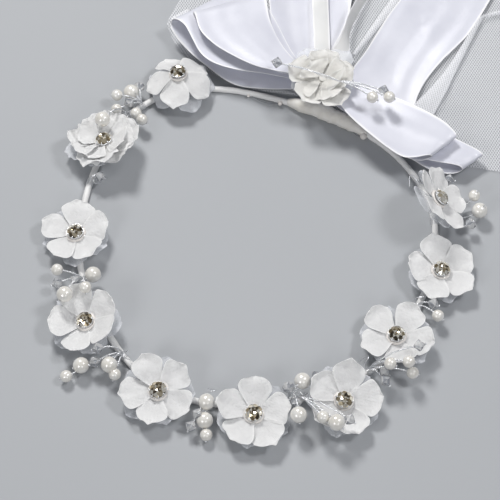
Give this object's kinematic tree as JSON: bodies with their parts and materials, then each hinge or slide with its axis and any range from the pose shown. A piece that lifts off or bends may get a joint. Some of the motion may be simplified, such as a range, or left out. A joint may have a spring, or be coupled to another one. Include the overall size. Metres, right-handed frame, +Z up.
{
  "type": "flower crown",
  "caption": "Ribbon-wrapped wire ring with fabric blossoms, rhinestone centres, pearl and crystal sprays, and a satin bow with tails and a tulle veil.",
  "frame": {"origin": "centre of the ring, on the surface the crown lies on", "axes": "+Z up from that surface, +Y towards the bow and veil at the back of the head, +X towards the wearer's left"},
  "size_m": [0.2444, 0.3402, 0.0326],
  "materials": {
    "wire": "bare drawn wire",
    "ribbon_wrap": "narrow satin ribbon wound edge to edge",
    "petal_fabric": "matt stiffened fabric with a soft nap",
    "organza": "sheer organza",
    "rhinestone": "foiled faceted stone in a silver claw cup",
    "pearl": "pearlescent beads and clear faceted beads on silver wire",
    "satin": "double-faced satin ribbon",
    "narrow_ribbon": "soft-sheen narrow ribbon",
    "tulle": "fine hexagonal net"
  },
  "bodies": {
    "crown": {"ring_wire": "wire", "ring_ribbon_wrap": "ribbon_wrap", "ring_joint_sleeve": "ribbon_wrap", "flower_01_petals": "petal_fabric", "flower_01_organza": "organza", "flower_01_rhinestone": "rhinestone", "flower_02_petals": "petal_fabric", "flower_02_organza": "organza", "flower_02_rhinestone": "rhinestone", "flower_03_petals": "petal_fabric", "flower_03_organza": "organza", "flower_03_rhinestone": "rhinestone", "flower_04_petals": "petal_fabric", "flower_04_organza": "organza", "flower_04_rhinestone": "rhinestone", "flower_05_petals": "petal_fabric", "flower_05_organza": "organza", "flower_05_rhinestone": "rhinestone", "flower_06_petals": "petal_fabric", "flower_06_organza": "organza", "flower_06_rhinestone": "rhinestone", "flower_07_petals": "petal_fabric", "flower_07_organza": "organza", "flower_07_rhinestone": "rhinestone", "flower_08_petals": "petal_fabric", "flower_08_organza": "organza", "flower_08_rhinestone": "rhinestone", "flower_09_petals": "petal_fabric", "flower_09_organza": "organza", "flower_09_rhinestone": "rhinestone", "flower_10_petals": "petal_fabric", "flower_10_organza": "organza", "flower_10_rhinestone": "rhinestone", "flower_centre_petals": "petal_fabric", "flower_centre_organza": "organza", "bow_knot": "satin"},
    "spray_01": {"spray_01": "pearl"},
    "spray_02": {"spray_02": "pearl"},
    "spray_03": {"spray_03": "pearl"},
    "spray_04": {"spray_04": "pearl"},
    "spray_05": {"spray_05": "pearl"},
    "spray_06": {"spray_06": "pearl"},
    "spray_07": {"spray_07": "pearl"},
    "spray_08": {"spray_08": "pearl"},
    "spray_09": {"spray_09": "pearl"},
    "spray_10": {"spray_10": "pearl"},
    "spray_11": {"spray_11": "pearl"},
    "spray_12": {"spray_12": "pearl"},
    "spray_centre": {"spray_centre": "pearl"},
    "bow_left": {"bow_loop_left_lower": "satin", "bow_loop_left_upper": "satin"},
    "bow_right": {"bow_loop_right_lower": "satin", "bow_loop_right_upper": "satin"},
    "veil": {"tulle_veil": "tulle", "satin_tail_left": "satin", "satin_tail_right": "satin", "narrow_ribbon_left": "narrow_ribbon", "narrow_ribbon_right": "narrow_ribbon"}
  },
  "joints": [
    {"name": "spray_01_bend", "type": "hinge", "parent": "crown", "child": "spray_01", "pos_m": [-0.084, 0.0588, 0.0042], "axis": [-0.5739, -0.8189, 0], "range_deg": [-9, 0]},
    {"name": "spray_02_bend", "type": "hinge", "parent": "crown", "child": "spray_02", "pos_m": [-0.0884, 0.049, 0.0042], "axis": [-0.4848, -0.8746, 0], "range_deg": [-10, 0]},
    {"name": "spray_03_bend", "type": "hinge", "parent": "crown", "child": "spray_03", "pos_m": [-0.0913, 0.005, 0.0042], "axis": [-0.052, -0.9986, 0], "range_deg": [0, 4]},
    {"name": "spray_04_bend", "type": "hinge", "parent": "crown", "child": "spray_04", "pos_m": [-0.0714, -0.0499, 0.0042], "axis": [0.5739, -0.8189, 0], "range_deg": [-6, 0]},
    {"name": "spray_05_bend", "type": "hinge", "parent": "crown", "child": "spray_05", "pos_m": [-0.0379, -0.0813, 0.0042], "axis": [0.9061, -0.423, 0], "range_deg": [-7, 0]},
    {"name": "spray_06_bend", "type": "hinge", "parent": "crown", "child": "spray_06", "pos_m": [0.0096, -0.091, 0.0042], "axis": [0.9945, 0.1049, 0], "range_deg": [-12, 0]},
    {"name": "spray_07_bend", "type": "hinge", "parent": "crown", "child": "spray_07", "pos_m": [0.0449, -0.0769, 0.0042], "axis": [0.8642, 0.5031, 0], "range_deg": [0, 3]},
    {"name": "spray_08_bend", "type": "hinge", "parent": "crown", "child": "spray_08", "pos_m": [0.0483, -0.0749, 0.0042], "axis": [0.8406, 0.5417, 0], "range_deg": [-8, 0]},
    {"name": "spray_09_bend", "type": "hinge", "parent": "crown", "child": "spray_09", "pos_m": [0.0764, -0.0487, 0.0042], "axis": [0.5373, 0.8434, 0], "range_deg": [-6, 0]},
    {"name": "spray_10_bend", "type": "hinge", "parent": "crown", "child": "spray_10", "pos_m": [0.0877, -0.0073, 0.0042], "axis": [0.082, 0.9966, 0], "range_deg": [0, 8]},
    {"name": "spray_11_bend", "type": "hinge", "parent": "crown", "child": "spray_11", "pos_m": [0.0834, 0.0443, 0.0015], "axis": [-0.4691, 0.8832, 0], "range_deg": [-2, 0]},
    {"name": "spray_12_bend", "type": "hinge", "parent": "crown", "child": "spray_12", "pos_m": [0.067, 0.0625, 0.0042], "axis": [-0.6822, 0.7312, 0], "range_deg": [-12, 0]},
    {"name": "spray_centre_bend", "type": "hinge", "parent": "crown", "child": "spray_centre", "pos_m": [-0.001, 0.0915, 0.028], "axis": [1, 0, 0], "range_deg": [0, 12]},
    {"name": "bow_left_fan", "type": "hinge", "parent": "crown", "child": "bow_left", "pos_m": [0, 0.097, 0], "axis": [0, 0, 1], "range_deg": [-12, 0]},
    {"name": "bow_right_fan", "type": "hinge", "parent": "crown", "child": "bow_right", "pos_m": [0, 0.097, 0], "axis": [0, 0, 1], "range_deg": [0, 9]},
    {"name": "veil_drop", "type": "hinge", "parent": "crown", "child": "veil", "pos_m": [0, 0.0915, 0.001], "axis": [1, 0, 0], "range_deg": [-90, 0]}
  ]
}
